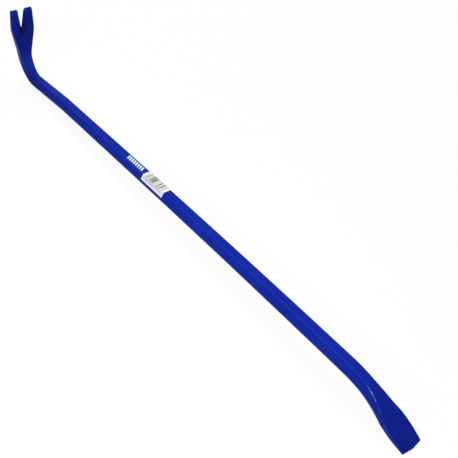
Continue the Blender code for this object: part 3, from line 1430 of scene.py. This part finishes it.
@dataclass
class VinylSticker(Label):
    """The blue vinyl sticker on the top flat, with a light border and a row of plain slanted stripes."""

    name: str = "vinyl_sticker"
    finishes: tuple[Finish, ...] = (VINYL, VINYL_WHITE, VINYL_BORDER)
    start: float = 0.6114
    length: float = 0.0582
    margin: float = 0.0005
    border_inset: float = 0.0002
    border_width: float = 0.0006
    stripe_count: int = 8
    stripe_start: float = 0.0075
    stripe_pitch: float = 0.0062
    stripe_width: float = 0.0038
    stripe_near: float = -0.0041
    stripe_far: float = 0.0041
    stripe_lean: float = radians(28)

    @property
    def half_width(self) -> float:
        """Half the sticker's width."""
        return self.section.flat_width / 2 - self.margin

    def outline(self) -> list[Vector]:
        """The sheet's section, a flat strip.

        Returns:
            Its corners, as (across, height) in order round it.
        """
        half = self.half_width
        base = self.section.across_flats / 2 + self.lift
        top = base + self.thickness
        return [Vector((-half, top)), Vector((half, top)), Vector((half, base)), Vector((-half, base))]

    def cut_borders(self, bm: BMesh) -> None:
        """Cuts both edges of the border line and the sides and ends of the stripes.

        Args:
            bm: the sheet, which is changed.
        """
        insets = (self.border_inset, self.border_inset + self.border_width)
        self.cut_at(bm, [place for inset in insets for place in (inset, self.length - inset)])
        border = [side * (self.half_width - inset) for side in (-1, 1) for inset in insets]
        for across in (*border, self.stripe_near, self.stripe_far):
            self.cut(bm, Vector((0.0, across, 0.0)), Vector((0.0, 1.0, 0.0)))
        lean = Vector((cos(self.stripe_lean), -sin(self.stripe_lean), 0.0))
        for stripe in range(self.stripe_count):
            for side in (0.0, self.stripe_width):
                place = self.stripe_start + self.stripe_pitch * stripe + side
                self.cut(bm, Vector((place, self.stripe_near, 0.0)), lean)

    def kind(self, point: Vector) -> Print:
        """What is printed at a point of the sticker.

        Args:
            point: a point of the sheet.

        Returns:
            The border line, a stripe, or the blue ground.
        """
        from_edge = min(self.half_width - abs(point.y), point.x, self.length - point.x)
        if self.border_inset < from_edge < self.border_inset + self.border_width:
            return Print.TINT
        leant = (point.y - self.stripe_near) * sin(self.stripe_lean) / cos(self.stripe_lean)
        step, rest = divmod(point.x - leant - self.stripe_start, self.stripe_pitch)
        in_row = self.stripe_near < point.y < self.stripe_far
        in_stripe = 0 <= step < self.stripe_count and rest < self.stripe_width
        return Print.MARK if in_row and in_stripe else Print.GROUND


# Stage


@dataclass(frozen=True)
class Lamp:
    """A soft box, kept out of reflections: where it hangs, what it looks at, its sides and its power."""

    name: str
    place: Triple
    aim: Triple
    size: Pair
    power: float

    def hang(self) -> None:
        """Puts the lamp in the scene."""
        light = bpy.data.lights.new(self.name, "AREA")
        light.shape = "RECTANGLE"
        light.size, light.size_y = self.size
        light.energy = self.power
        lamp = bpy.data.objects.new(self.name, light)
        lamp.visible_glossy = False
        lamp.location = self.place
        lamp.rotation_euler = (Vector(self.aim) - Vector(self.place)).to_track_quat("-Z", "Y").to_euler()
        bpy.context.scene.collection.objects.link(lamp)


@dataclass
class Studio:
    """A plain white stage with soft light and the camera at the photograph's angle."""

    camera_place: Triple = (0.7075, -0.4912, 0.7507)
    camera_turn: Triple = (47.721, -3.994, 51.884)
    lens: float = 52.734
    clip_start: float = 0.01
    floor_radius: float = 6.0
    floor_sides: int = 64
    floor_roughness: float = 0.9
    floor_tone: float = 0.94
    bounce_tone: float = 0.5
    floor_glow: float = 0.92
    ambient: float = 0.22
    lamps: tuple[Lamp, ...] = (
        Lamp("overhead_box", (-3.0, 1.5, 4.4), (0.0, 0.0, 0.0), (3.0, 3.0), 236.0),
        Lamp("side_box", (0.27, -0.70, 0.56), (0.22, 0.0, 0.0), (0.6, 0.3), 5.1),
    )

    @staticmethod
    def _seen(graph: Graph) -> NodeSocket:
        """1 for a ray from the camera, a mirror or glass, and 0 for light that falls on a surface.

        Args:
            graph: the graph that gets the nodes.

        Returns:
            That value.
        """
        rays = graph.node("ShaderNodeLightPath").outputs
        mirrored = graph.math("MAXIMUM", rays["Is Glossy Ray"], rays["Is Transmission Ray"])
        return graph.math("MAXIMUM", rays["Is Camera Ray"], mirrored)

    def _camera(self) -> None:
        """Makes the camera."""
        data = bpy.data.cameras.new("photo_camera")
        data.lens = self.lens
        data.clip_start = self.clip_start
        camera = bpy.data.objects.new("photo_camera", data)
        camera.location = self.camera_place
        camera.rotation_euler = Euler([radians(angle) for angle in self.camera_turn])
        bpy.context.scene.collection.objects.link(camera)
        bpy.context.scene.camera = camera

    def _floor(self) -> None:
        """Makes the pale floor; it glows for the camera and in reflections, so that it stays white."""
        material = bpy.data.materials.new("pale_floor")
        graph, shader = Graph.of(material, "Principled BSDF")
        tones = [(tone, tone, tone, 1.0) for tone in (self.bounce_tone, self.floor_tone)]
        graph.feed(shader.inputs["Base Color"], graph.blend(self._seen(graph), *tones))
        shader.inputs["Roughness"].default_value = self.floor_roughness
        shader.inputs["Specular IOR Level"].default_value = 0.0
        glow = graph.node("ShaderNodeEmission", {"Color": (1.0, 1.0, 1.0, 1.0), "Strength": 1.0})
        share = graph.math("MULTIPLY", self._seen(graph), self.floor_glow)
        mixed = graph.node("ShaderNodeMixShader", {0: share, 1: shader.outputs[0], 2: glow.outputs[0]})
        graph.feed(material.node_tree.nodes["Material Output"].inputs["Surface"], mixed.outputs[0])
        bm = bmesh.new()
        bmesh.ops.create_circle(bm, cap_ends=True, segments=self.floor_sides, radius=self.floor_radius)
        floor = new_object("floor", bm, [material])

    def _world(self) -> None:
        """Makes the white surroundings, dimmer as light than as background."""
        world = bpy.data.worlds.new("studio")
        graph, background = Graph.of(world, "Background")
        background.inputs["Color"].default_value = (1.0, 1.0, 1.0, 1.0)
        seen = graph.math("MULTIPLY", self._seen(graph), 1.0 - self.ambient)
        graph.feed(background.inputs["Strength"], graph.math("ADD", seen, self.ambient))
        bpy.context.scene.world = world

    def build(self) -> None:
        """Sets the stage."""
        bpy.context.scene.view_settings.view_transform = "Standard"
        self._camera()
        self._floor()
        self._world()
        for lamp in self.lamps:
            lamp.hang()


def put_in_place(piece: Object, node: str) -> None:
    """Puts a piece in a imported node's place and reports it.

    Args:
        piece: the new piece.
        node: the node that it stands for.
    """
    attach(piece, BODY)
    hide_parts(node)
    LOG.info("%s stands for %s: %d faces", piece.name, node, len(piece.data.polygons))


def main() -> None:
    """Builds the stage and each piece in order."""
    logging.basicConfig(level=logging.INFO, format="%(name)s: %(message)s")
    Studio().build()
    effects = SharedEffects()
    coat, rest = Forging().build(effects)
    put_in_place(coat, "forged_bar")
    put_in_place(PaperLabel().build(effects, rest), "barcode_label")
    put_in_place(VinylSticker().build(effects, rest), "name_sticker")


if __name__ == "__main__":
    main()
